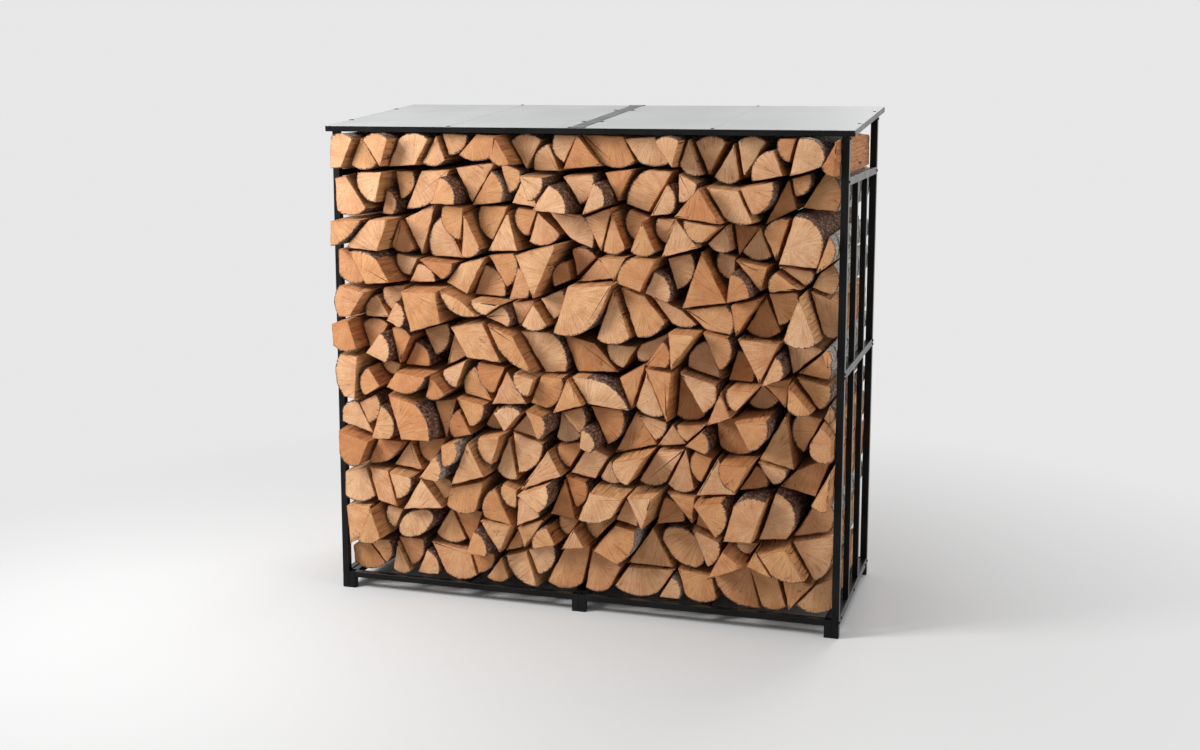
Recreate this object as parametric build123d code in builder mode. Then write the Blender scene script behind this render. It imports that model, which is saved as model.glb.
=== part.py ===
from build123d import *
import math
import os

# A metal log store, filled with split firewood. It stands on level ground, its width
# along X and its depth along Y, with the front towards -Y. The origin is on the ground
# under the middle of the store. All sizes are in millimetres.

# Overall sizes of the frame, over the outer faces of its corner posts
FRAME_WIDTH = 1814
FRAME_DEPTH = 724
ROOF_FRONT_HEIGHT = 1679  # ground to the top of the roof sheet at its front edge
ROOF_RISE = 64  # from the roof's front edge to its back edge

# Square and rectangular steel tubes
TUBE = 25  # side of the posts, side rails and legs
WALL = 1.5
TUBE_CORNER = 2.5  # outer radius of a tube's long edges
BASE_RAIL_HEIGHT = 22
BAR = 20  # side of the square bars in the side frames
MID_RAIL_HEIGHT = 12.5  # one of the two flat rails where the frame's halves meet
ROOF_RAIL_HEIGHT = 20

# Heights of the rails above the ground, to their undersides
GROUND_CLEARANCE = 40
SPLIT_HEIGHT = 884.5  # where the lower and upper halves of the frame meet
TOP_RAIL_HEIGHT = 1502

BARS_PER_SIDE = 2
CROSS_BARS = 3  # in each half of the base

# Roof: flat steel sheets on a folded edge trim
ROOF_SIDE_OVERHANG = 18
ROOF_END_OVERHANG = 16  # at the front and at the back
SHEET = 1.2
TRIM_DROP = 20  # how far the trim hangs below the sheet's top
TRIM_SEAT = 13  # width of the trim's flange under the sheet
SHEET_JOINT = 1  # gap between the two sheets, under the cover strip
COVER_WIDTH = 44
COVER_THICKNESS = 1.5

# Firewood: split logs in courses, each log along Y
LOG_LENGTH = 660  # of the shortest log, which lies in the middle of the depth
LOG_REACH = 142  # how much further the longest logs reach, at the front and at the back
REACH_SKEW = 1.6  # above 1, fewer logs reach far out than stay back
LONGEST_LOGS = 0.02  # share of the logs that reach all the way
BOTTOM_REACH = 0.14  # share of the reach that the bottom course has, behind the base's rails
LOG_WIDTH = 124  # typical, along a course
COURSES = 12
COURSES_PER_LAYER = 2
LOG_GAP = 0.3  # from each log to the edge of its place in the stack
END_GAP = 0.3  # from the stack to the frame around it
JITTER = 0.23  # how far the corners wander, as a share of a log's width or height
SWELL = 0.13  # how far a course rises and falls along its length, as a share of its height
SWELL_LENGTH = 640  # from one rise to the next
PAIRING = 0.16  # share of places where two wedges make one larger log
ROUND_LOGS = 0.2  # share of those that are round all over, where their neighbours allow it
HALF_ROUNDS = 0.45  # share of those that have one round corner, where their neighbours allow it
BARK_RISE = 0.17  # height of a bark side's arc, as a share of its chord
DEEPEST_BARK = 0.55  # the most that an arc takes of its log's depth, or of its corners' spread
TIP_SHARE = 0.92  # how far a round corner's arc reaches along the shorter of its two sides
ROUND_SHARE = 0.47  # the same on a log that is round all over
LOOSE_LOGS = 4  # how many logs at a course's left end reach further forward
LOOSE_REACH = 0.6  # how much of their missing reach the outermost of them gets back
WIDE_LOG_X = 180  # where a wide flat log lies in the top course

PARTS_FOLDER = "parts"

# Places worked out from the sizes above
post_x = FRAME_WIDTH / 2 - TUBE / 2
post_y = FRAME_DEPTH / 2 - TUBE / 2
inner_width = FRAME_WIDTH - 2 * TUBE
inner_depth = FRAME_DEPTH - 2 * TUBE
half_width = inner_width / 2
roof_width = FRAME_WIDTH + 2 * ROOF_SIDE_OVERHANG
roof_depth = FRAME_DEPTH + 2 * ROOF_END_OVERHANG
roof_slope = math.atan2(ROOF_RISE, roof_depth)
slope_length = math.hypot(ROOF_RISE, roof_depth)
base_top = GROUND_CLEARANCE + BASE_RAIL_HEIGHT


def roof_plane(depth_below=0):
    """A plane parallel to the roof, from the middle of its front edge, x across and y up the slope."""
    normal = Vector(0, -math.sin(roof_slope), math.cos(roof_slope))
    front_edge = Vector(0, -roof_depth / 2, ROOF_FRONT_HEIGHT)
    return Plane(origin=front_edge - normal * depth_below, x_dir=(1, 0, 0), z_dir=normal)


def save(piece, label):
    """Names a finished sub-part and writes it to its own file."""
    piece.part.label = label
    export_step(piece.part, os.path.join(PARTS_FOLDER, label + ".step"))


def tube_section(width, height, plane):
    """The section of a tube with rounded corners, across a plane's own x and y."""
    with BuildSketch(plane) as section:
        RectangleRounded(width, height, TUBE_CORNER)
        inner = (width - 2 * WALL, height - 2 * WALL)
        RectangleRounded(*inner, TUBE_CORNER - WALL, mode=Mode.SUBTRACT)
    return section.sketch


def tubes(label, width, height, length, planes, closed_start=False):
    """Hollow tubes of one section and length, each rising from its own plane."""
    with BuildPart() as piece:
        for plane in planes:
            extrude(tube_section(width, height, plane), amount=length)
            if closed_start:
                with BuildSketch(plane):
                    RectangleRounded(width, height, TUBE_CORNER)
                extrude(amount=WALL)
    save(piece, label)


def upward(x, y, z):
    return Plane(origin=(x, y, z), x_dir=(1, 0, 0), z_dir=(0, 0, 1))


def backward(x, y, z):
    """A plane facing +Y, with its own x across and its own y downward."""
    return Plane(origin=(x, y, z), x_dir=(1, 0, 0), z_dir=(0, 1, 0))


def rightward(x, y, z):
    """A plane facing +X, with its own x along Y and its own y upward."""
    return Plane(origin=(x, y, z), x_dir=(0, 1, 0), z_dir=(1, 0, 0))


def make_posts():
    """Four corner posts, each in two lengths that meet half way up."""
    for side, x in (("left", -post_x), ("right", post_x)):
        for end, y in (("front", -post_y), ("back", post_y)):
            name = f"{side}_{end}_post"
            tubes(name + "_lower", TUBE, TUBE, SPLIT_HEIGHT, [upward(x, y, 0)], closed_start=True)
            with BuildPart() as upper:
                section = tube_section(TUBE, TUBE, upward(x, y, SPLIT_HEIGHT))
                extrude(section, amount=ROOF_FRONT_HEIGHT + ROOF_RISE - SPLIT_HEIGHT)
                split(bisect_by=roof_plane(SHEET), keep=Keep.BOTTOM)
            save(upper, name + "_upper")


def make_side_frames():
    """The rails and bars of the two sides, between the posts."""
    rails = {
        "bottom_rail": (GROUND_CLEARANCE, TUBE),
        "lower_mid_rail": (SPLIT_HEIGHT - MID_RAIL_HEIGHT, MID_RAIL_HEIGHT),
        "upper_mid_rail": (SPLIT_HEIGHT, MID_RAIL_HEIGHT),
        "top_rail": (TOP_RAIL_HEIGHT, TUBE),
    }
    bars = {
        "lower_bars": (GROUND_CLEARANCE + TUBE, SPLIT_HEIGHT - MID_RAIL_HEIGHT),
        "upper_bars": (SPLIT_HEIGHT + MID_RAIL_HEIGHT, TOP_RAIL_HEIGHT),
    }
    bar_pitch = (inner_depth + BAR) / (BARS_PER_SIDE + 1)
    bar_places = [
        -inner_depth / 2 - BAR / 2 + bar_pitch * (index + 1) for index in range(BARS_PER_SIDE)
    ]
    for side, x in (("left", -post_x), ("right", post_x)):
        for name, (underside, height) in rails.items():
            start = backward(x, -inner_depth / 2, underside + height / 2)
            tubes(f"{side}_{name}", TUBE, height, inner_depth, [start])
        for name, (bottom, top) in bars.items():
            starts = [upward(x, y, bottom) for y in bar_places]
            tubes(f"{side}_{name}", BAR, BAR, top - bottom, starts)


def make_base():
    """Two base frames side by side: legs, front and back rails and the bars across them."""
    leg_span = half_width - TUBE  # between the centres of a half's legs
    rail_length = leg_span - TUBE
    rail_z = GROUND_CLEARANCE + BASE_RAIL_HEIGHT / 2
    for side, outer_leg in (("left", -half_width + TUBE / 2), ("right", TUBE / 2)):
        leg_places = [(outer_leg + leg_span * far, y) for far in (0, 1) for y in (-post_y, post_y)]
        legs = [upward(x, y, 0) for x, y in leg_places]
        tubes(f"{side}_base_legs", TUBE, TUBE, base_top, legs, closed_start=True)
        for end, y in (("front", -post_y), ("back", post_y)):
            start = rightward(outer_leg + TUBE / 2, y, rail_z)
            tubes(f"{side}_base_{end}_rail", TUBE, BASE_RAIL_HEIGHT, rail_length, [start])
        bar_step = leg_span / (CROSS_BARS - 1)
        bars = [
            backward(outer_leg + bar_step * index, -inner_depth / 2, rail_z)
            for index in range(CROSS_BARS)
        ]
        tubes(f"{side}_base_cross_bars", TUBE, BASE_RAIL_HEIGHT, inner_depth, bars)


def make_roof_rails():
    """Tubes under the sheets: one between the front posts, one between the back posts, a rafter."""
    rail_middle = SHEET + ROOF_RAIL_HEIGHT / 2
    plane = roof_plane(rail_middle)
    from_edge = (ROOF_END_OVERHANG + TUBE / 2) / math.cos(roof_slope)
    for end, up_slope in (("front", from_edge), ("back", slope_length - from_edge)):
        origin = plane.from_local_coords((-inner_width / 2, up_slope, 0))
        start = Plane(origin=origin, x_dir=plane.y_dir, z_dir=(1, 0, 0))
        tubes(f"roof_{end}_rail", TUBE, ROOF_RAIL_HEIGHT, inner_width, [start])
    rafter_start = plane.from_local_coords((0, from_edge + TUBE / 2, 0))
    rafter_length = slope_length - 2 * from_edge - TUBE
    start = Plane(origin=rafter_start, x_dir=(1, 0, 0), z_dir=plane.y_dir)
    tubes("roof_centre_rafter", TUBE, ROOF_RAIL_HEIGHT, rafter_length, [start])


def trim_section(inward, plane):
    """An angle: a face that hangs down from the sheet's edge and a flange under the sheet."""
    face_drop = TRIM_DROP - SHEET
    with BuildSketch(plane) as section:
        with BuildLine():
            Polyline(
                (0, 0),
                (inward * TRIM_SEAT, 0),
                (inward * TRIM_SEAT, -SHEET),
                (inward * SHEET, -SHEET),
                (inward * SHEET, -face_drop),
                (0, -face_drop),
                close=True,
            )
        make_face()
    return section.sketch


def make_roof_trims():
    """Angle profiles around the roof's edge, the side ones between the front and back ones."""
    top = roof_plane(SHEET)
    corner = roof_width / 2
    for end, edge, inward in (("front", 0, 1), ("back", slope_length, -1)):
        origin = top.from_local_coords((-corner, edge, 0))
        plane = Plane(origin=origin, x_dir=top.y_dir, z_dir=(1, 0, 0))
        with BuildPart() as trim:
            extrude(trim_section(inward, plane), amount=roof_width)
        save(trim, f"roof_{end}_trim")
    for side, edge, inward in (("left", -corner, 1), ("right", corner, -1)):
        origin = top.from_local_coords((edge, TRIM_SEAT, 0))
        plane = Plane(origin=origin, x_dir=(1, 0, 0), z_dir=-top.y_dir)
        with BuildPart() as trim:
            extrude(trim_section(inward, plane), amount=-(slope_length - 2 * TRIM_SEAT))
        save(trim, f"roof_{side}_trim")


def make_roof_sheets():
    """Two flat sheets that meet in the middle, and the strip that covers their joint."""
    sheet_width = roof_width / 2 - SHEET_JOINT / 2
    for side, sign in (("left", -1), ("right", 1)):
        middle = sign * (roof_width / 2 - sheet_width / 2)
        with BuildPart() as sheet:
            with BuildSketch(roof_plane(SHEET)):
                with Locations((middle, slope_length / 2)):
                    Rectangle(sheet_width, slope_length)
            extrude(amount=SHEET)
        save(sheet, f"roof_{side}_sheet")
    with BuildPart() as cover:
        with BuildSketch(roof_plane()):
            with Locations((0, slope_length / 2)):
                Rectangle(COVER_WIDTH, slope_length)
        extrude(amount=COVER_THICKNESS)
    save(cover, "roof_cover_strip")


def wander(*key):
    """A fixed number between -1 and 1 for each key, so that no two logs are alike."""
    value = math.sin(sum(term * weight for term, weight in zip(key, (12.9898, 78.233, 37.719)))) * 43758.5453
    return 2 * (value - math.floor(value)) - 1


def chance(share, *key):
    """Whether a key is among this share of all keys."""
    return wander(*key) < 2 * share - 1


def stack_corners():
    """The corners where logs meet, course by course from the bottom, every other course shifted."""
    left = -half_width + END_GAP
    bottom = base_top + END_GAP
    roof_rail_bottom = roof_plane(SHEET + ROOF_RAIL_HEIGHT).from_local_coords((0, 0, 0)).Z
    height = roof_rail_bottom - END_GAP - bottom
    width = 2 * (half_width - END_GAP)
    per_course = round(width / LOG_WIDTH)
    pitch = width / per_course
    rise = height / COURSES
    rows = []
    for row in range(COURSES + 1):
        steps = [0] + [i + 0.5 for i in range(per_course)] + [per_course]
        if row % 2 == 0:
            steps = list(range(per_course + 1))
        level = bottom + rise * row
        corners = []
        for index, step in enumerate(steps):
            at_side = index in (0, len(steps) - 1)
            at_end = row in (0, COURSES)
            swell = SWELL * math.sin(math.tau * (pitch * step / SWELL_LENGTH + wander(row, 3)))
            x = left + pitch * step + (0 if at_side else pitch * JITTER * wander(row, index, 1))
            z = level + (0 if at_end else rise * (JITTER * wander(row, index, 2) + swell))
            corners.append((x, z))
        rows.append(corners)
    return rows


def is_convex(corners, least_turn=0.12):
    """Whether a ring of corners turns the same way, by a clear angle, at each of them."""
    for index in range(len(corners)):
        before, here, after = (Vector(*corners[(index + k) % len(corners)]) for k in (-1, 0, 1))
        arriving = (here - before).normalized()
        leaving = (after - here).normalized()
        if arriving.X * leaving.Y - arriving.Y * leaving.X < least_turn:
            return False
    return True


def course_cells(low, high, row, wide_log_x=None):
    """The places of one course's logs: triangles between two rows of corners, some joined."""
    wide, narrow = (low, high) if len(low) > len(high) else (high, low)
    triangles = []
    for index in range(len(narrow)):
        triangles.append([wide[index], wide[index + 1], narrow[index]])
        if index + 1 < len(narrow):
            triangles.append([narrow[index], wide[index + 1], narrow[index + 1]])
    cells = []
    index = 0
    while index < len(triangles):
        here = triangles[index]
        at_side = index == 0 or index + 2 == len(triangles)
        pair = None
        if index % 2 == 0 and wide_log_x is not None and here[0][0] <= wide_log_x < here[1][0]:
            first = index // 2
            cells.append([narrow[first], narrow[first + 1], wide[first + 2], wide[first]])
            index += 3
            continue
        if index + 1 < len(triangles) and (at_side or chance(PAIRING, row, index, 5)):
            pair = joined(here, triangles[index + 1])
        cells.append(pair or here)
        index += 2 if pair else 1
    return cells


def joined(one, other):
    """The ring around two triangles that share a side, or None if it would be hollow."""
    ring = sorted(set(one + other))
    middle = (sum(x for x, z in ring) / 4, sum(z for x, z in ring) / 4)
    ring.sort(key=lambda corner: math.atan2(corner[1] - middle[1], corner[0] - middle[0]))
    return ring if is_convex(ring) else None


def sides(ring):
    return [frozenset((ring[k], ring[(k + 1) % len(ring)])) for k in range(len(ring))]


def round_sides(cells):
    """For each log, which of its sides may be round: of two logs that share one, only one may."""
    claims = {}
    for place, cell in cells.items():
        for side in sides(cell):
            claims.setdefault(side, []).append((wander(*place, 9), place))
    return {place: [max(claims[side])[1] == place for side in sides(cell)] for place, cell in cells.items()}


def anticlockwise(ring):
    area = sum(a[0] * b[1] - b[0] * a[1] for a, b in zip(ring, ring[1:] + ring[:1]))
    return ring if area > 0 else ring[::-1]


def inset(ring, gap):
    """The corners of a convex anticlockwise ring, with every side moved inwards by a gap."""
    points = [Vector(*corner) for corner in ring]
    corners = []
    for index in range(len(points)):
        before, here, after = (points[(index + k) % len(points)] for k in (-1, 0, 1))
        back = (before - here).normalized()
        on = (after - here).normalized()
        sine = on.X * back.Y - on.Y * back.X
        corners.append(here + (back + on) * (gap / sine))
    return corners


def corner_angle(before, here, after):
    return math.radians((before - here).get_angle(after - here))


def away_from(start, end, point):
    """The unit vector across a line from start to end, on the side of a point."""
    along = (end - start).normalized()
    offset = point - start
    return (offset - along * offset.dot(along)).normalized()


def slide(corner, towards, drop, outward):
    """A corner moved along one of its sides until it has dropped by a distance from the outside."""
    step = (towards - corner).normalized()
    return corner + step * (drop / -step.dot(outward))


def round_tip(corners, index, share):
    """The arc that rounds a corner, tangent to both sides: its start, its crown and its end."""
    before, tip, after = corners[index - 1], corners[index], corners[(index + 1) % len(corners)]
    reach = share * min((after - tip).length, (before - tip).length)
    start = tip + (before - tip).normalized() * reach
    end = tip + (after - tip).normalized() * reach
    half_angle = corner_angle(before, tip, after) / 2
    to_crown = reach * (1 - math.sin(half_angle)) / math.cos(half_angle)
    return start, tip + ((start + end) / 2 - tip).normalized() * to_crown, end


def round_side(corners, index):
    """The arc in place of the side after a corner, which touches that side half way along."""
    before, corner, after, beyond = (corners[(index + k) % len(corners)] for k in (-1, 0, 1, 2))
    outward = away_from(corner, after, beyond) * -1
    length = (after - corner).length
    depth = min((corner - before).dot(outward), (after - beyond).dot(outward))
    widest = max(corner_angle(before, corner, after), corner_angle(corner, after, beyond))
    steepest = math.tan((math.pi - widest) / 2) / 2
    rise = min(BARK_RISE * length, DEEPEST_BARK * depth, DEEPEST_BARK * steepest * length)
    start = slide(corner, before, rise, outward)
    end = slide(after, beyond, rise, outward)
    return start, (start + end) / 2 + outward * rise, end


def log_outline(ring, may_curve, place):
    """The outline of a log's end: a ring of corners, each one point, and arcs of three points."""
    corners = inset(ring, LOG_GAP)
    count = len(corners)
    outline = [(corner,) for corner in corners]
    round_tips = [k for k in range(count) if may_curve[k - 1] and may_curve[k]]
    if count == 4 and len(round_tips) == count and chance(ROUND_LOGS, *place, 12):
        return [round_tip(corners, k, ROUND_SHARE) for k in range(count)]
    if count == 4 and round_tips and chance(HALF_ROUNDS, *place, 13):
        outline[round_tips[0]] = round_tip(corners, round_tips[0], TIP_SHARE)
    elif any(may_curve):
        bark = may_curve.index(True)
        outline = outline[bark:] + outline[:bark]
        outline[:2] = [round_side(corners, bark)]
    return outline


def log_end(outline, back_end):
    """The flat end of a log, on the plane of its back."""
    with BuildSketch(Plane.XZ.offset(-back_end)) as end_face:
        with BuildLine():
            for piece, next_piece in zip(outline, outline[1:] + outline[:1]):
                if len(piece) == 3:
                    ThreePointArc(*piece)
                Line(piece[-1], next_piece[0])
        make_face()
    return end_face.sketch


def log_reach(row, index, at_front):
    """How far a log's front or back end lies beyond the shortest log's."""
    share = (1 + wander(row, index, 21 if at_front else 22)) / 2
    if row == 0:
        return LOG_REACH * BOTTOM_REACH * share
    if share > 1 - LONGEST_LOGS:
        return LOG_REACH
    if at_front and index < LOOSE_LOGS:
        share += (1 - share) * LOOSE_REACH * (1 - index / LOOSE_LOGS)
    return LOG_REACH * share**REACH_SKEW


def make_logs():
    """The stack, a layer of courses at a time, each log a solid of its own."""
    rows = stack_corners()
    cells = {}
    for row in range(COURSES):
        wide_log_x = WIDE_LOG_X if row == COURSES - 1 else None
        for index, cell in enumerate(course_cells(rows[row], rows[row + 1], row, wide_log_x)):
            cells[row, index] = anticlockwise(cell)
    may_curve = round_sides(cells)
    for first in range(0, COURSES, COURSES_PER_LAYER):
        with BuildPart() as layer:
            logs = []
            for place, cell in cells.items():
                if first <= place[0] < first + COURSES_PER_LAYER:
                    back_end, front_end = (LOG_LENGTH / 2 + log_reach(*place, at) for at in (False, True))
                    end_face = log_end(log_outline(cell, may_curve[place], place), back_end)
                    length = back_end + front_end
                    logs.append(extrude(end_face, amount=length, clean=False, mode=Mode.PRIVATE))
            add(logs, clean=False)
        save(layer, f"log_layer_{first // COURSES_PER_LAYER + 1}")


os.makedirs(PARTS_FOLDER, exist_ok=True)
make_posts()
make_side_frames()
make_base()
make_roof_rails()
make_roof_trims()
make_roof_sheets()
make_logs()
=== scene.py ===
import math
import random

import bpy
from mathutils import Matrix, Vector


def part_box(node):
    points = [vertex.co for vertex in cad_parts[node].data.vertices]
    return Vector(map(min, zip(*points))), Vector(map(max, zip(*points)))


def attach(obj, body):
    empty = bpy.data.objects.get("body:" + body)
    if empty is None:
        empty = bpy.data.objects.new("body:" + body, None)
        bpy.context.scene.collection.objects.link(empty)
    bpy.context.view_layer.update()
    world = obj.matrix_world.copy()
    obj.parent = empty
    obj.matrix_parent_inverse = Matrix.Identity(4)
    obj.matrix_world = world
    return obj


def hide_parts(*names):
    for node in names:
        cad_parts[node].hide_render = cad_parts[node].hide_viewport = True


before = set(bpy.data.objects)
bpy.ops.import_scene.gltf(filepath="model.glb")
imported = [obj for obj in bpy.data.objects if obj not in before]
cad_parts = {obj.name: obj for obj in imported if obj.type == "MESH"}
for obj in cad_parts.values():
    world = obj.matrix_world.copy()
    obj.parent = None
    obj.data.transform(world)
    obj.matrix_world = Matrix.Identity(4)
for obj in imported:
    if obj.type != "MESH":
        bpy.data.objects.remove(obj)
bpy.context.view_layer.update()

# Sizes in metres, from the frame
sheet_low, sheet_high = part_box("roof_right_sheet")
ROOF_FRONT_HEIGHT = 1.679  # of the sheets' top, at its front edge
ROOF_RISE = sheet_high.z - ROOF_FRONT_HEIGHT
ROOF_DEPTH = -2 * sheet_low.y
ROOF_WIDTH = 2 * sheet_high.x
ROOF_SLOPE = math.atan2(ROOF_RISE, ROOF_DEPTH)
SLOPE_LENGTH = math.hypot(ROOF_RISE, ROOF_DEPTH)
post_low, post_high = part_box("right_back_post_lower")
POST_X, POST_Y = (post_low.x + post_high.x) / 2, (post_low.y + post_high.y) / 2
POST_FACE_X, POST_FACE_Y = post_high.x, post_high.y  # the outer faces of the posts
RAIL_HEIGHTS = (0.0525, 0.878, 0.891, 1.5145)  # middles of the side rails

SMOOTH_ANGLE = math.radians(32)  # where faces meet more sharply than this, the edge shows

# Firewood
LOG_SEED = 41
MERGE_DISTANCE = 0.00002
FLAT_ANGLE = math.radians(0.7)  # faces that meet more flatly than this become one
LONG_EDGE = 0.3  # edges that are longer than this run along a log
MIDDLE_REACH = 0.05  # points this near to the middle of a log's length belong to its cut there
CUT_TILT = math.radians(4)  # how far a saw cut is off square, at the most
END_PULL = 0.012  # how far a saw cut's middle lies inside its CAD log
END_TAPER = (0.82, 0.95)  # how large a log is at its ends, compared with its middle
MIDDLE_SWELL = 1.045  # the middle is a little fuller than in the frame, for the fibres' depth
END_TWIST = math.radians(4)  # how far a log's ends are turned against its middle, at the most
SPARE_SHIFT = 0.6  # share of the room beside a log's end that it may move over
TOP_COURSE_Z = 1.56  # the ends of logs above this height lie up against the roof
TOP_COURSE_LIFT = (0.9, 1.5)  # as shares of that room, up from the middle
USUAL_LIFT = (-1, 0.5)
BARK_BAND = 0.0065  # width of the bark on a log's end
OUTLINE_STEP = 0.0075  # between the points of a log's outline, roughly
OUTLINE_CUTS = (20, 15, 11, 8, 6, 4, 3, 2, 1)  # that its edges may get, the longest edges first
CUTS_ALONG = 7  # in each half of a log's length
FIBRE_DEPTH = 0.007  # of the torn wood on split sides
FIBRE_LEVEL = 0.62  # the texture's value that leaves the surface where it is
BARK_DEPTH = 0.006
BARK_LEVEL = 0.6
ARC_FACET = 0.027  # facets narrower than this may belong to a bark arc
ARC_TURN = math.radians(26)  # where they meet more flatly than this
ROUND_PITH_SHIFT = 0.006  # how far the pith of a round log is off its middle, at the most
FAR_PITH = (0.05, 0.11)  # how far the pith is from the middle of a log with no bark
LARGEST_TRUNK = 0.16  # radius of the thickest tree
GRAIN_SHIFT = 3  # along a log, at the most, so that no two logs look alike
PALE_BARK_X = 0.76  # many of the logs further to the right have pale grey bark
PALE_BARK_SHARE = {True: 0.65, False: 0.05}  # share of the logs there, and elsewhere
WEATHERED_X = -0.82  # some of the logs further to the left are weathered
WEATHERED_SHARE = 0.3

END_SLOT, SPLIT_SLOT, BARK_SLOT = 0, 1, 2

# Bolts and screws
HEAD_SIDES = 18
HEAD_BEVEL = 0.45  # share of a head's rise
SOCKET_INSET = 0.35  # share of its radius
SOCKET_DEPTH = 0.5  # share of its rise
BOLT_RADIUS = 0.0047
BOLT_RISE = 0.003
SCREW_RADIUS = 0.0045
ROOF_BOLT_HEIGHT = {-1: 1.652, 1: 1.7}  # at the front and back posts' tops
BASE_BOLT_PLACES = (-0.3, 0.0, 0.3)  # along the bottom side rails
SLEEVE_BOLT_HEIGHTS = (0.847, 0.922)  # above and below the joint of the posts' halves

# Roof clips and seams
COVER_HALF_WIDTH = 0.022
CLIP_SIZE = (0.018, 0.009, 0.0021)  # length, width and rise, with its screw
CLIP_EDGE = 0.12  # width of its sloping edges, as a share of its width
CLIP_CROWN = 0.15  # how far they slope down, as a share of its rise
SCREW_PLACE = 0.6  # share of its length
SCREW_SEAT = 0.45  # share of its rise
CLIP_ROWS = (0.19, 0.575)  # up the slope
END_CLIP_SHIFT = 0.004  # from the cover strip's edge to the middle of the clips at its ends
SEAM_WIDTH = 0.007
SEAM_RISE = 0.0007
SEAM_END = 0.002  # from a seam's end to the sheet's edge
SEAM_BEVEL = 0.8  # share of a seam's rise

# Studio
FLOOR_REACH = 40.0
FLOOR_FADE = (1.1, 2.9)  # where the floor starts to turn into the backdrop, and where it ends
FLOOR_COLOUR = 0.50
BACKDROP_COLOUR = 0.80
SKY_LIGHT = 0.72
LAMP_TARGET = (0, 0, 0.9)
KEY_LAMP = (-2.65, -2.3, 2.75)
SIDE_LAMP = (5.2, -1.6, 2.4)
BACK_LAMP = (1.5, 4.8, 4.5)

# Camera, from the photograph's perspective
CAMERA_PLACE = (1.5925, -5.2369, 1.8236)
CAMERA_PITCH = math.radians(8.16)
CAMERA_YAW = math.radians(17.25)
CAMERA_LENS = 45.83
CAMERA_SHIFT = -0.06


def deselect():
    bpy.ops.object.select_all(action="DESELECT")


def take(*pieces):
    """Selects only these pieces and makes the first one active."""
    deselect()
    for piece in pieces:
        piece.select_set(True)
    bpy.context.view_layer.objects.active = pieces[0]


def edit(piece, mode="FACE"):
    take(piece)
    bpy.context.tool_settings.mesh_select_mode = (False, mode == "EDGE", mode == "FACE")
    bpy.ops.object.mode_set(mode="EDIT")


def leave():
    bpy.ops.object.mode_set(mode="OBJECT")


def select_faces(piece, wanted):
    """In object mode, selects the faces that a test accepts, and nothing else."""
    mesh = piece.data
    mesh.vertices.foreach_set("select", [False] * len(mesh.vertices))
    mesh.edges.foreach_set("select", [False] * len(mesh.edges))
    mesh.polygons.foreach_set("select", [wanted(face) for face in mesh.polygons])


def select_edges(piece, wanted):
    """In object mode, selects the edges that a test accepts, and nothing else."""
    mesh = piece.data
    mesh.vertices.foreach_set("select", [False] * len(mesh.vertices))
    mesh.polygons.foreach_set("select", [False] * len(mesh.polygons))
    mesh.edges.foreach_set("select", [wanted(edge) for edge in mesh.edges])


def apply_modifiers(piece):
    take(piece)
    for modifier in list(piece.modifiers):
        bpy.ops.object.modifier_apply(modifier=modifier.name)


def node_tree(name, roughness):
    """A new material with its shader, and short ways to add and link nodes."""
    material = bpy.data.materials.new(name)
    material.use_nodes = True
    nodes = material.node_tree.nodes
    links = material.node_tree.links
    shader = nodes["Principled BSDF"]
    shader.inputs["Roughness"].default_value = roughness

    def add(kind, **values):
        node = nodes.new("ShaderNode" + kind)
        for key, value in values.items():
            if hasattr(node, key):
                setattr(node, key, value)
            else:
                node.inputs[key.replace("_", " ")].default_value = value
        return node

    def link(out, into):
        links.new(out, into)

    return material, shader, add, link


def ramp(add, link, factor, *stops):
    """A colour ramp on a factor; each stop is a place and a colour."""
    node = add("ValToRGB")
    elements = node.color_ramp.elements
    while len(elements) < len(stops):
        elements.new(0.5)
    for element, (place, colour) in zip(elements, stops):
        element.position = place
        element.color = (*colour, 1)
    link(factor, node.inputs["Fac"])
    return node.outputs["Color"]


def grey(level):
    return (level, level, level)


def mix(add, link, blend, factor, one, other):
    """Mixes two colours; factor and colours may be sockets or plain values."""
    node = add("Mix", data_type="RGBA", blend_type=blend)
    for value, socket in ((factor, 0), (one, 6), (other, 7)):
        if isinstance(value, bpy.types.NodeSocket):
            link(value, node.inputs[socket])
        elif socket:
            node.inputs[socket].default_value = (*value, 1)
        else:
            node.inputs[socket].default_value = value
    return node.outputs[2]


def bump(add, link, shader, height, distance, strength):
    node = add("Bump", Distance=distance, Strength=strength)
    link(height, node.inputs["Height"])
    link(node.outputs["Normal"], shader.inputs["Normal"])


def noise(add, link, place, scale, detail=2.0, roughness=0.5):
    node = add("TexNoise", Scale=scale, Detail=detail, Roughness=roughness)
    link(place, node.inputs["Vector"])
    return node.outputs["Fac"]


def spread(add, link, value, low, high, to_low=0.0, to_high=1.0):
    """A value's range from low to high, mapped to another range and cut off there."""
    node = add("MapRange", From_Min=low, From_Max=high, To_Min=to_low, To_Max=to_high)
    link(value, node.inputs["Value"])
    return node.outputs["Result"]


def math_node(add, link, operation, one, other):
    node = add("Math", operation=operation)
    for value, socket in ((one, 0), (other, 1)):
        if isinstance(value, bpy.types.NodeSocket):
            link(value, node.inputs[socket])
        else:
            node.inputs[socket].default_value = value
    return node.outputs[0]


def shaded(add, link, colour, factor, dark, low, high, amount=1.0):
    """A colour that is multiplied by a darker one where a factor is low."""
    shade = ramp(add, link, factor, (low, dark), (high, grey(1.0)))
    return mix(add, link, "MULTIPLY", amount, colour, shade)


def off_lines(add, link, value, level, width):
    """0 along the thin lines where a value passes a level, and 1 away from them."""
    distance = math_node(add, link, "ABSOLUTE", math_node(add, link, "SUBTRACT", value, level), 0.0)
    return spread(add, link, distance, 0.0, width)


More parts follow.
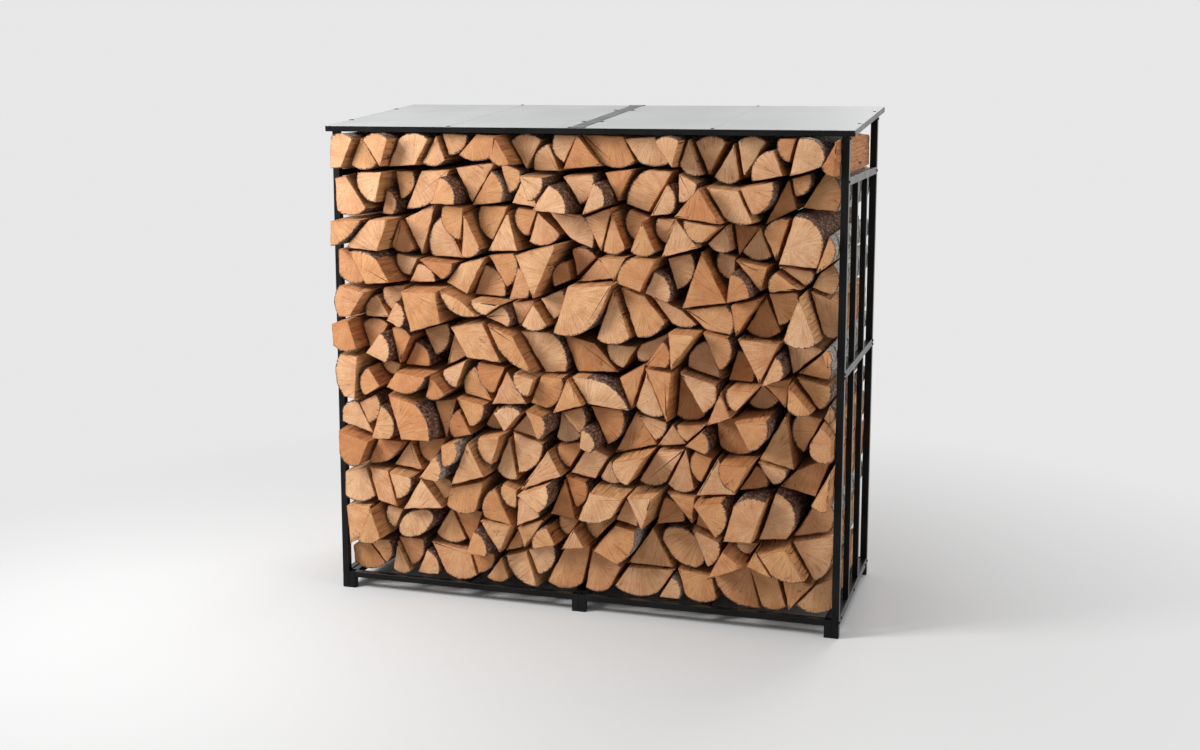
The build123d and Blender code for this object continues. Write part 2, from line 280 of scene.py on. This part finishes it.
def grain_coordinates(add, link, stretch):
    """A log's own coordinates, measured from its pith, squeezed or stretched on each axis."""
    attribute = add("Attribute", attribute_name="grain")
    scaled = add("VectorMath", operation="MULTIPLY")
    scaled.inputs[1].default_value = stretch
    link(attribute.outputs["Vector"], scaled.inputs[0])
    return scaled.outputs["Vector"]


def ray_coordinates(add, link, flat, radius):
    """Coordinates that run round the pith and, much slower, away from it."""
    apart = add("SeparateXYZ")
    link(flat, apart.inputs["Vector"])
    angle = math_node(add, link, "ARCTAN2", apart.outputs["X"], apart.outputs["Z"])
    polar = add("CombineXYZ")
    link(math_node(add, link, "MULTIPLY", angle, 22.0), polar.inputs["X"])
    link(math_node(add, link, "MULTIPLY", radius, 14.0), polar.inputs["Y"])
    link(math_node(add, link, "MULTIPLY", own_number(add, "tone"), 50.0), polar.inputs["Z"])
    return polar.outputs["Vector"]


def own_number(add, name):
    """A number that is stored with each log, such as its tone."""
    return add("Attribute", attribute_name=name).outputs["Fac"]


def bark_colour(add, link, place):
    """Brown bark, the brown or pale grey bark of each log, and the grains of both."""
    grains = noise(add, link, place, 95.0, 7.0, 0.75)
    brown = ramp(
        add, link, grains,
        (0.38, (0.045, 0.013, 0.006)), (0.5, (0.150, 0.060, 0.030)), (0.60, (0.37, 0.245, 0.170)),
    )
    pale = ramp(
        add, link, grains,
        (0.34, (0.07, 0.05, 0.04)), (0.46, (0.34, 0.30, 0.26)), (0.66, (0.56, 0.52, 0.47)),
    )
    return brown, mix(add, link, "MIX", own_number(add, "pale_bark"), brown, pale), grains


def end_grain():
    """Sawn end: rings and rays round the pith, drying cracks, a jagged fringe of bark darkened by
    painted shade, and painted shade along its outline.
    """
    material, shader, add, link = node_tree("end_grain", 0.74)
    flat = grain_coordinates(add, link, (1, 0, 1))
    wobble = add("TexNoise", Scale=14.0, Detail=3.0)
    link(flat, wobble.inputs["Vector"])
    wander = add("VectorMath", operation="SCALE", Scale=0.012)
    link(wobble.outputs["Color"], wander.inputs[0])
    bent = add("VectorMath", operation="ADD")
    link(flat, bent.inputs[0])
    link(wander.outputs["Vector"], bent.inputs[1])
    radius = add("VectorMath", operation="LENGTH")
    link(bent.outputs["Vector"], radius.inputs[0])
    turns = math_node(add, link, "MULTIPLY", radius.outputs["Value"], 1250.0)
    rings = spread(add, link, math_node(add, link, "SINE", turns, 0.0), -1.0, 1.0)

    base = ramp(
        add, link, own_number(add, "tone"),
        (0.0, (0.43, 0.185, 0.062)), (0.18, (0.50, 0.255, 0.104)), (0.42, (0.535, 0.300, 0.136)),
        (0.66, (0.57, 0.338, 0.178)), (0.86, (0.60, 0.385, 0.222)), (1.0, (0.48, 0.230, 0.095)),
    )
    aged = mix(add, link, "MIX", own_number(add, "weathered"), base, (0.34, 0.30, 0.165))
    blotch = noise(add, link, flat, 20.0, 5.0, 0.6)
    warm = shaded(add, link, aged, blotch, (0.80, 0.64, 0.50), 0.34, 0.60, 0.8)
    ringed = shaded(add, link, warm, rings, (0.86, 0.78, 0.70), 0.1, 0.7, 0.6)
    around = ray_coordinates(add, link, flat, radius.outputs["Value"])
    rays = noise(add, link, around, 1.0, 4.0, 0.7)
    rayed = shaded(add, link, ringed, rays, (0.74, 0.60, 0.48), 0.36, 0.58, 0.8)
    crack = off_lines(add, link, noise(add, link, around, 0.22, 1.0), 0.60, 0.008)
    cracked = shaded(add, link, rayed, crack, (0.22, 0.11, 0.06), 0.1, 0.9, 0.8)
    specks = noise(add, link, flat, 330.0, 3.0)
    speckled = shaded(add, link, cracked, specks, (0.60, 0.46, 0.36), 0.34, 0.46, 0.7)
    knots = noise(add, link, flat, 60.0, 2.0)
    dotted = shaded(add, link, speckled, knots, (0.30, 0.16, 0.10), 0.235, 0.262)

    teeth = spread(add, link, noise(add, link, flat, 150.0, 1.0), 0.36, 0.62, 0.04, 0.94)
    beyond = math_node(add, link, "SUBTRACT", own_number(add, "rim"), teeth)
    fringe = spread(add, link, beyond, -0.06, 0.06)
    bark = bark_colour(add, link, flat)[0]
    # Painted shade: each end grows darker towards its outline, standing in for the dark gaps
    # between neighbouring logs.
    outline_shade_mask = spread(add, link, own_number(add, "edge"), 0.9, 0.45)
    outline_painted_shade = shaded(add, link, dotted, outline_shade_mask, (0.55, 0.36, 0.25), 0.0, 1.0, 0.8)
    # Bark, and painted shade: the fringe is brown bark at half its brightness, dark like the
    # shadowed gaps beside it.
    bark_fringe_painted_shade = mix(add, link, "MULTIPLY", 1.0, bark, grey(0.5))
    link(mix(add, link, "MIX", fringe, outline_painted_shade, bark_fringe_painted_shade), shader.inputs["Base Color"])
    relief = mix(add, link, "MIX", 0.4, specks, rings)
    bump(add, link, shader, mix(add, link, "MULTIPLY", fringe, relief, grey(0.1)), 0.0012, 0.6)
    return material


def split_wood():
    """Split side: long torn fibres along the log, and a few drying cracks."""
    material, shader, add, link = node_tree("split_wood", 0.82)
    fibre = noise(add, link, grain_coordinates(add, link, (1, 0.04, 1)), 150.0, 5.0, 0.6)
    patch = noise(add, link, grain_coordinates(add, link, (1, 0.3, 1)), 14.0, 4.0)
    crack = noise(add, link, grain_coordinates(add, link, (1, 0.05, 1)), 42.0, 1.0)
    base = ramp(
        add, link, own_number(add, "tone"),
        (0.0, (0.47, 0.200, 0.065)), (0.5, (0.56, 0.280, 0.110)), (0.86, (0.60, 0.345, 0.150)),
        (1.0, (0.49, 0.215, 0.075)),
    )
    olive = mix(add, link, "MIX", own_number(add, "weathered"), base, (0.24, 0.21, 0.11))
    streaked = shaded(add, link, olive, fibre, (0.56, 0.37, 0.25), 0.36, 0.60, 0.9)
    aged = shaded(add, link, streaked, patch, (0.66, 0.58, 0.50), 0.36, 0.60, 0.7)
    line = off_lines(add, link, crack, 0.62, 0.012)
    cracked = shaded(add, link, aged, line, (0.12, 0.06, 0.04), 0.2, 0.9)
    link(cracked, shader.inputs["Base Color"])
    bump(add, link, shader, mix(add, link, "MULTIPLY", 1.0, fibre, line), 0.003, 0.8)
    return material


def rough_bark():
    """Bark: plates with cracks and a granular surface."""
    material, shader, add, link = node_tree("rough_bark", 0.92)
    along = grain_coordinates(add, link, (1, 0.45, 1))
    plates = add("TexVoronoi", feature="DISTANCE_TO_EDGE", Scale=85.0)
    link(along, plates.inputs["Vector"])
    base, grains = bark_colour(add, link, along)[1:]
    gaps = plates.outputs["Distance"]
    link(shaded(add, link, base, gaps, grey(0.25), 0.0, 0.12, 0.8), shader.inputs["Base Color"])
    depth = ramp(add, link, gaps, (0.0, grey(0.0)), (0.15, grey(1.0)))
    bump(add, link, shader, mix(add, link, "ADD", 0.6, grains, depth), 0.004, 0.9)
    return material


def black_coating():
    """Satin black powder coat on the steel tubes, with a fine orange-peel surface."""
    material, shader, add, link = node_tree("black_coating", 0.3)
    shader.inputs["Specular Tint"].default_value = (*grey(0.2), 1)
    place = add("TexCoord").outputs["Object"]
    cloud = noise(add, link, place, 9.0, 5.0)
    colour = ramp(add, link, cloud, (0.35, (0.004, 0.004, 0.004)), (0.7, (0.008, 0.008, 0.008)))
    link(colour, shader.inputs["Base Color"])
    link(spread(add, link, cloud, 0.3, 0.7, 0.24, 0.34), shader.inputs["Roughness"])
    bump(add, link, shader, noise(add, link, place, 700.0), 0.0001, 0.4)
    return material


def grey_sheet():
    """Light grey coated sheet steel of the roof, with faint water marks."""
    material, shader, add, link = node_tree("grey_sheet", 0.5)
    place = add("TexCoord").outputs["Object"]
    stain = noise(add, link, place, 5.0, 7.0, 0.6)
    colour = ramp(add, link, stain, (0.35, (0.34, 0.343, 0.345)), (0.65, (0.38, 0.383, 0.385)))
    link(colour, shader.inputs["Base Color"])
    link(spread(add, link, stain, 0.3, 0.7, 0.46, 0.58), shader.inputs["Roughness"])
    shader.inputs["Specular IOR Level"].default_value = 0.06
    bump(add, link, shader, noise(add, link, place, 500.0), 0.0002, 0.4)
    return material


def register(piece, name):
    """Names a finished piece, and gives it its body."""
    piece.name = name
    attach(piece, "root")


def give(piece, *materials):
    """Puts these materials in a piece's slots, in this order."""
    piece.data.materials.clear()
    for material in materials:
        piece.data.materials.append(material)


def split_layer(node, name):
    """The logs of one CAD layer as separate pieces, each with flat sides of one face."""
    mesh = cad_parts[node].data.copy()
    layer = bpy.data.objects.new(name, mesh)
    bpy.context.collection.objects.link(layer)
    give(layer, *firewood_materials)
    edit(layer)
    bpy.ops.mesh.select_all(action="SELECT")
    bpy.ops.mesh.remove_doubles(threshold=MERGE_DISTANCE)
    bpy.ops.mesh.customdata_custom_splitnormals_clear()
    bpy.ops.mesh.dissolve_limited(angle_limit=FLAT_ANGLE)
    bpy.ops.mesh.select_all(action="SELECT")
    bpy.ops.mesh.separate(type="LOOSE")
    leave()
    return list(bpy.context.selected_objects)


def mark_surfaces(log):
    """Gives each face of a log its slot, and returns where the log and its bark are.

    That is the middle of its section, the centre and normal of each bark face, in order, and
    whether it is bark all round.
    """
    mesh = log.data
    lows = [min(v.co[axis] for v in mesh.vertices) for axis in range(3)]
    highs = [max(v.co[axis] for v in mesh.vertices) for axis in range(3)]
    middle = Vector(((lows[0] + highs[0]) / 2, 0, (lows[2] + highs[2]) / 2))
    length = highs[1] - lows[1]
    sides = [face for face in mesh.polygons if abs(face.normal.y) < 0.5]
    for face in mesh.polygons:
        face.material_index = END_SLOT
    sides.sort(key=lambda face: math.atan2(face.center.z - middle.z, face.center.x - middle.x))
    bark = []
    for index, face in enumerate(sides):
        around = (sides[index - 1], sides[(index + 1) % len(sides)])
        turn = min(face.normal.angle(other.normal) for other in around)
        narrow = face.area / length < ARC_FACET
        face.material_index = BARK_SLOT if narrow and turn < ARC_TURN else SPLIT_SLOT
        if face.material_index == BARK_SLOT:
            bark.append((face.center.copy(), face.normal.copy()))
    return middle, bark, len(bark) == len(sides)


def find_pith(middle, bark, is_round, dice):
    """Where the tree's middle was: the centre of the bark's arc, or outside a log with no bark."""
    if is_round:
        across, up = (dice.uniform(-ROUND_PITH_SHIFT, ROUND_PITH_SHIFT) for axis in "XZ")
        return middle + Vector((across, 0, up))
    if len(bark) < 2:
        turn = dice.uniform(0, math.tau)
        return middle + Vector((math.cos(turn), 0, math.sin(turn))) * dice.uniform(*FAR_PITH)
    mean = sum((normal for centre, normal in bark), Vector()).normalized()
    crown = max(bark, key=lambda item: item[1].dot(mean))[0]
    opening = max(normal.angle(mean) for centre, normal in bark)
    reach = max((centre - crown).length for centre, normal in bark)
    radius = reach / max(math.sin(opening), 0.2)
    return crown - mean * min(radius, LARGEST_TRUNK)


def store_grain(log, pith, shift, **numbers):
    """Keeps a log's own coordinates and numbers with its mesh, for its materials."""
    vertices = log.data.vertices
    grain = log.data.attributes.new("grain", "FLOAT_VECTOR", "POINT")
    for vertex, item in zip(vertices, grain.data):
        item.vector = (vertex.co.x - pith.x, vertex.co.y + shift, vertex.co.z - pith.z)
    for name, number in numbers.items():
        values = log.data.attributes.new(name, "FLOAT", "POINT")
        values.data.foreach_set("value", [number] * len(vertices))


def log_numbers(middle, dice):
    """A log's tone, how pale its bark is and how weathered it is, each from 0 to 1."""
    tone, pale, age = dice.random(), dice.random(), dice.random()
    return {
        "tone": tone,
        "pale_bark": float(pale < PALE_BARK_SHARE[middle.x > PALE_BARK_X]),
        "weathered": float(middle.x < WEATHERED_X and age < WEATHERED_SHARE),
    }


def span(mesh, edge):
    """The way from one end of an edge to the other."""
    start, end = (mesh.vertices[k].co for k in edge.vertices)
    return end - start


def add_middle(log):
    """Cuts a log across at the middle of its length, where it keeps its full section."""
    mesh = log.data
    select_edges(log, lambda edge: abs(span(mesh, edge).y) > LONG_EDGE)
    edit(log, "EDGE")
    bpy.ops.mesh.subdivide(number_cuts=1)
    leave()
    ends = [face.center.y for face in mesh.polygons if abs(face.normal.y) > 0.9]
    middle_y = sum(ends) / len(ends)

    def in_middle(edge):
        return all(abs(mesh.vertices[k].co.y - middle_y) < MIDDLE_REACH for k in edge.vertices)

    places = [mesh.vertices[k].co for edge in mesh.edges if in_middle(edge) for k in edge.vertices]
    centre = sum(places, Vector()) / len(places)
    select_edges(log, in_middle)
    edit(log, "EDGE")
    bpy.ops.transform.resize(value=(MIDDLE_SWELL, 1, MIDDLE_SWELL), center_override=centre)
    leave()


def shape_end(log, facing, dice):
    """Tapers one end of a log, turns and moves it a little and tilts its saw cut."""
    ends = [face for face in log.data.polygons if face.normal.y * facing > 0.9]
    centre = ends[0].center.copy()
    corners = [log.data.vertices[k].co - centre for k in ends[0].vertices]
    nearest = min(math.hypot(corner.x, corner.z) for corner in corners)
    select_faces(log, lambda face: face.normal.y * facing > 0.9)
    edit(log)
    taper = dice.uniform(*END_TAPER)
    bpy.ops.transform.resize(value=(taper, 1, taper), center_override=centre)
    twist = dice.uniform(-END_TWIST, END_TWIST)
    bpy.ops.transform.rotate(value=twist, orient_axis="Y", center_override=centre)
    for axis in "XZ":
        turn = dice.uniform(-CUT_TILT, CUT_TILT)
        bpy.ops.transform.rotate(value=turn, orient_axis=axis, center_override=centre)
    room = nearest * (1 - taper) * SPARE_SHIFT
    least, most = TOP_COURSE_LIFT if centre.z > TOP_COURSE_Z else USUAL_LIFT
    rise = dice.uniform(room * least, room * most)
    shift = (dice.uniform(-room, room), -facing * END_PULL, rise)
    bpy.ops.transform.translate(value=shift)
    leave()


def refine_layer(layer):
    """Cuts the logs' outlines and lengths into small faces and adds a band round the ends."""
    mesh = layer.data

    def runs_along(edge):
        return abs(span(mesh, edge).y) > LONG_EDGE / 2

    for cuts in OUTLINE_CUTS:
        least = OUTLINE_STEP * (cuts + 0.5)
        select_edges(layer, lambda edge: not runs_along(edge) and span(mesh, edge).length > least)
        edit(layer, "EDGE")
        bpy.ops.mesh.subdivide(number_cuts=cuts)
        leave()
    select_edges(layer, runs_along)
    edit(layer, "EDGE")
    bpy.ops.mesh.subdivide(number_cuts=CUTS_ALONG)
    leave()
    select_faces(layer, lambda face: face.material_index == END_SLOT)
    edit(layer)
    bpy.ops.mesh.dissolve_faces()
    bpy.ops.mesh.inset(thickness=BARK_BAND, use_individual=True, use_even_offset=True)
    leave()
    store_rim(layer)


def store_rim(layer):
    """Marks the outline of each log's end, and its stretches where bark meets it."""
    mesh = layer.data
    touched = {END_SLOT: set(), SPLIT_SLOT: set(), BARK_SLOT: set()}
    for face in mesh.polygons:
        touched[face.material_index].update(face.vertices)
    at_bark = touched[END_SLOT] & touched[BARK_SLOT]
    outline = at_bark | touched[END_SLOT] & touched[SPLIT_SLOT]
    for name, marked in (("rim", at_bark), ("edge", outline)):
        values = mesh.attributes.new(name, "FLOAT", "POINT")
        values.data.foreach_set("value", [float(k in marked) for k in range(len(mesh.vertices))])


def cloud_texture(name, size, depth=2):
    texture = bpy.data.textures.new(name, "CLOUDS")
    texture.noise_scale = size
    texture.noise_depth = depth
    return texture


def roughen(layer, slot, group, texture, depth, level, guide):
    """Adds a rough surface to the faces of one slot, by a cloud texture that a guide stretches."""
    edit(layer)
    bpy.ops.mesh.select_all(action="DESELECT")
    layer.active_material_index = slot
    bpy.ops.object.material_slot_select()
    layer.vertex_groups.new(name=group)
    bpy.ops.object.vertex_group_assign()
    leave()
    shift = layer.modifiers.new(group, "DISPLACE")
    shift.vertex_group = group
    shift.texture = texture
    shift.texture_coords = "OBJECT"
    shift.texture_coords_object = guide
    shift.strength = depth
    shift.mid_level = level


def make_layer(node):
    """One layer of firewood, dressed from the logs of its CAD node."""
    number = node.rsplit("_", 1)[1]
    dice = random.Random(LOG_SEED * 100 + int(number))
    logs = split_layer(node, "firewood_" + number)
    logs.sort(key=lambda log: tuple(round(value, 4) for value in log.data.vertices[0].co))
    for log in logs:
        middle, bark, is_round = mark_surfaces(log)
        pith = find_pith(middle, bark, is_round, dice)
        add_middle(log)
        for facing in (-1, 1):
            shape_end(log, facing, dice)
        shift = dice.uniform(-GRAIN_SHIFT, GRAIN_SHIFT)
        store_grain(log, pith, shift, **log_numbers(middle, dice))
    take(*logs)
    bpy.ops.object.join()
    layer = bpy.context.object
    refine_layer(layer)
    roughen(layer, SPLIT_SLOT, "split", fibre_texture, FIBRE_DEPTH, FIBRE_LEVEL, fibre_guide)
    roughen(layer, BARK_SLOT, "bark", bark_texture, BARK_DEPTH, BARK_LEVEL, bark_guide)
    apply_modifiers(layer)
    layer.vertex_groups.clear()
    bpy.ops.object.shade_smooth_by_angle(angle=SMOOTH_ANGLE)
    register(layer, "firewood_" + number)
    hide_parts(node)


def guide_empty(name, scale):
    bpy.ops.object.empty_add(type="PLAIN_AXES")
    guide = bpy.context.object
    guide.name = name
    guide.scale = scale
    return guide


def make_camera():
    turn = (math.pi / 2 - CAMERA_PITCH, 0, CAMERA_YAW)
    bpy.ops.object.camera_add(location=CAMERA_PLACE, rotation=turn)
    camera = bpy.context.object
    camera.data.sensor_width = 36
    camera.data.lens = CAMERA_LENS
    camera.data.shift_y = CAMERA_SHIFT
    bpy.context.scene.camera = camera


def area_light(place, size, power):
    bpy.ops.object.light_add(type="AREA", location=place)
    lamp = bpy.context.object
    lamp.data.shape = "RECTANGLE"
    lamp.data.size, lamp.data.size_y = size
    lamp.data.energy = power
    aim = Vector(LAMP_TARGET) - Vector(place)
    lamp.rotation_euler = aim.to_track_quat("-Z", "Y").to_euler()


def plain_rays(add, link):
    """Whether a ray comes from the camera, a mirror or a clear surface."""
    ray = add("LightPath").outputs
    direct = math_node(add, link, "MAXIMUM", ray["Is Camera Ray"], ray["Is Glossy Ray"])
    return math_node(add, link, "MAXIMUM", direct, ray["Is Transmission Ray"])


def make_floor():
    """A pale floor that takes the object's shadow and turns into the plain backdrop further out."""
    bpy.ops.mesh.primitive_plane_add(size=2 * FLOOR_REACH)
    floor = bpy.context.object
    floor.name = "studio_floor"
    material, shader, add, link = node_tree("studio_floor", 0.9)
    shader.inputs["Base Color"].default_value = (*grey(FLOOR_COLOUR), 1)
    shader.inputs["Specular IOR Level"].default_value = 0.0
    distance = add("VectorMath", operation="LENGTH")
    link(add("TexCoord").outputs["Object"], distance.inputs[0])
    far = spread(add, link, distance.outputs["Value"], *FLOOR_FADE)
    plain = add("Emission", Strength=1.0)
    plain.inputs["Color"].default_value = (*grey(BACKDROP_COLOUR), 1)
    choice = add("MixShader")
    link(math_node(add, link, "MULTIPLY", far, plain_rays(add, link)), choice.inputs["Fac"])
    link(shader.outputs["BSDF"], choice.inputs[1])
    link(plain.outputs["Emission"], choice.inputs[2])
    link(choice.outputs["Shader"], material.node_tree.nodes["Material Output"].inputs["Surface"])
    give(floor, material)


def make_world():
    """An even pale surrounding, and a little less light from it than the eye sees."""
    world = bpy.data.worlds.new("studio")
    world.use_nodes = True
    tree = world.node_tree

    def add(kind, **values):
        node = tree.nodes.new("ShaderNode" + kind)
        for key, value in values.items():
            setattr(node, key, value)
        return node

    seen = add("Background")
    seen.inputs["Color"].default_value = (*grey(BACKDROP_COLOUR), 1)
    light = tree.nodes["Background"]
    light.inputs["Color"].default_value = (*grey(1.0), 1)
    light.inputs["Strength"].default_value = SKY_LIGHT
    choice = add("MixShader")
    tree.links.new(plain_rays(add, tree.links.new), choice.inputs["Fac"])
    tree.links.new(light.outputs["Background"], choice.inputs[1])
    tree.links.new(seen.outputs["Background"], choice.inputs[2])
    tree.links.new(choice.outputs["Shader"], tree.nodes["World Output"].inputs["Surface"])
    bpy.context.scene.world = world


def make_studio():
    make_floor()
    make_world()
    area_light(KEY_LAMP, size=(1.2, 1.8), power=208)
    area_light(SIDE_LAMP, size=(2.5, 2.5), power=80)
    area_light(BACK_LAMP, size=(3.0, 2.0), power=200)


def model_fastener(name, radius, rise):
    """One round head with a socket, its underside at the origin and its top along Z."""
    deselect()
    bpy.ops.mesh.primitive_cylinder_add(
        vertices=HEAD_SIDES, radius=radius, depth=rise, location=(0, 0, rise / 2)
    )
    head = bpy.context.object
    head.name = name
    bpy.ops.object.transform_apply(location=True, rotation=True, scale=True)
    select_faces(head, lambda face: face.normal.z > 0.9)
    edit(head)
    bpy.ops.mesh.bevel(offset=rise * HEAD_BEVEL, segments=3, affect="EDGES")
    leave()
    select_faces(head, lambda face: face.normal.z > 0.999 and len(face.vertices) > 4)
    edit(head)
    bpy.ops.mesh.inset(thickness=radius * SOCKET_INSET)
    sink = (0, 0, -rise * SOCKET_DEPTH)
    bpy.ops.mesh.extrude_region_move(TRANSFORM_OT_translate={"value": sink})
    leave()
    return head


def place_copies(model, name, places):
    """Copies of a model, each at its place and turn, as one black piece."""
    copies = []
    for place, turn in places:
        copy = model.copy()
        copy.data = model.data.copy()
        bpy.context.collection.objects.link(copy)
        copy.location = place
        copy.rotation_euler = turn
        copies.append(copy)
    bpy.data.objects.remove(model)
    take(*copies)
    bpy.ops.object.join()
    piece = bpy.context.object
    bpy.ops.object.transform_apply(location=True, rotation=True, scale=True)
    give(piece, coating)
    bpy.ops.object.shade_smooth_by_angle(angle=SMOOTH_ANGLE)
    register(piece, name)


def roof_point(across, up):
    """A place on the roof, across from its middle and up its slope from the front edge."""
    return (
        across,
        -ROOF_DEPTH / 2 + up * math.cos(ROOF_SLOPE),
        ROOF_FRONT_HEIGHT + up * math.sin(ROOF_SLOPE),
    )


def turn_towards(normal):
    """The turn that points something's Z axis along a normal."""
    return Vector(normal).to_track_quat("Z", "Y").to_euler()


def make_frame_bolts():
    """Bolts through the posts into the side rails, and through the bottom rails into the base."""
    places = []
    for side in (-1, 1):
        outward = turn_towards((side, 0, 0))
        for end in (-1, 1):
            for height in (*RAIL_HEIGHTS, ROOF_BOLT_HEIGHT[end]):
                places.append(((side * POST_FACE_X, end * POST_Y, height), outward))
        for y in BASE_BOLT_PLACES:
            places.append(((side * POST_FACE_X, y, RAIL_HEIGHTS[0]), outward))
        for height in SLEEVE_BOLT_HEIGHTS:
            for end in (-1, 1):
                place = (side * POST_X, end * POST_FACE_Y, height)
                places.append((place, turn_towards((0, end, 0))))
    place_copies(model_fastener("bolt", BOLT_RADIUS, BOLT_RISE), "frame_bolts", places)


def model_clip():
    """One sheet clip: a tab with sloping edges and a screw head, along X from the origin."""
    deselect()
    length, width, rise = CLIP_SIZE
    bpy.ops.mesh.primitive_cube_add(size=1, location=(length / 2, 0, rise / 4))
    clip = bpy.context.object
    clip.name = "clip"
    clip.scale = (length, width, rise / 2)
    bpy.ops.object.transform_apply(location=True, rotation=True, scale=True)
    select_faces(clip, lambda face: face.normal.z > 0.9)
    edit(clip)
    bpy.ops.mesh.inset(thickness=width * CLIP_EDGE)
    bpy.ops.transform.translate(value=(0, 0, rise * CLIP_CROWN))
    leave()
    screw = model_fastener("clip_screw", SCREW_RADIUS, rise / 2)
    screw.location = (length * SCREW_PLACE, 0, rise * SCREW_SEAT)
    take(clip, screw)
    bpy.ops.object.join()
    bpy.ops.object.transform_apply(location=True, rotation=True, scale=True)
    return clip


def make_sheet_clips():
    """Black clips that hold the roof sheets along their edges and beside the cover strip."""
    spots = []  # across the roof, up its slope, and the turn in degrees
    for side in (-1, 1):
        for up in CLIP_ROWS:
            spots.append((side * ROOF_WIDTH / 2, up, 180 if side > 0 else 0))
            spots.append((side * COVER_HALF_WIDTH, up, 0 if side > 0 else 180))
        for across in (side * ROOF_WIDTH / 4, side * (COVER_HALF_WIDTH + END_CLIP_SHIFT)):
            spots.append((across, 0.0, 90))
            spots.append((across, SLOPE_LENGTH, -90))
    lean = Matrix.Rotation(ROOF_SLOPE, 4, "X")
    places = []
    for across, up, degrees in spots:
        turn = lean @ Matrix.Rotation(math.radians(degrees), 4, "Z")
        places.append((roof_point(across, up), turn.to_euler()))
    place_copies(model_clip(), "sheet_clips", places)


def make_sheet_seams():
    """A low folded seam down the middle of each roof sheet."""
    seams = []
    for side in (-1, 1):
        deselect()
        bpy.ops.mesh.primitive_cube_add(size=1, location=(0, 0, 0))
        seam = bpy.context.object
        seam.scale = (SEAM_WIDTH, SLOPE_LENGTH - 2 * SEAM_END, 2 * SEAM_RISE)
        seam.location = roof_point(side * ROOF_WIDTH / 4, SLOPE_LENGTH / 2)
        seam.rotation_euler = (ROOF_SLOPE, 0, 0)
        bpy.ops.object.transform_apply(location=True, rotation=True, scale=True)
        select_faces(seam, lambda face: face.normal.z > 0.9)
        edit(seam)
        bpy.ops.mesh.bevel(offset=SEAM_RISE * SEAM_BEVEL, segments=2, affect="EDGES")
        leave()
        seams.append(seam)
    take(*seams)
    bpy.ops.object.join()
    piece = bpy.context.object
    give(piece, sheet)
    register(piece, "sheet_seams")


deselect()
make_camera()
make_studio()

firewood_materials = (end_grain(), split_wood(), rough_bark())
coating = black_coating()
sheet = grey_sheet()
fibre_texture = cloud_texture("torn_fibre", 0.03)
bark_texture = cloud_texture("bark_lumps", 0.02, 3)
fibre_guide = guide_empty("fibre_direction", (1, 12, 1))
bark_guide = guide_empty("bark_direction", (1, 2, 1))

layer_names = sorted(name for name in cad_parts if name.startswith("log_layer"))
for name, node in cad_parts.items():
    if name not in layer_names:
        give(node, sheet if name.endswith("_sheet") else coating)

make_frame_bolts()
make_sheet_clips()
make_sheet_seams()

for name in layer_names:
    make_layer(name)

for guide in (fibre_guide, bark_guide):
    bpy.data.objects.remove(guide)

scene = bpy.context.scene
scene.view_settings.view_transform = "Standard"
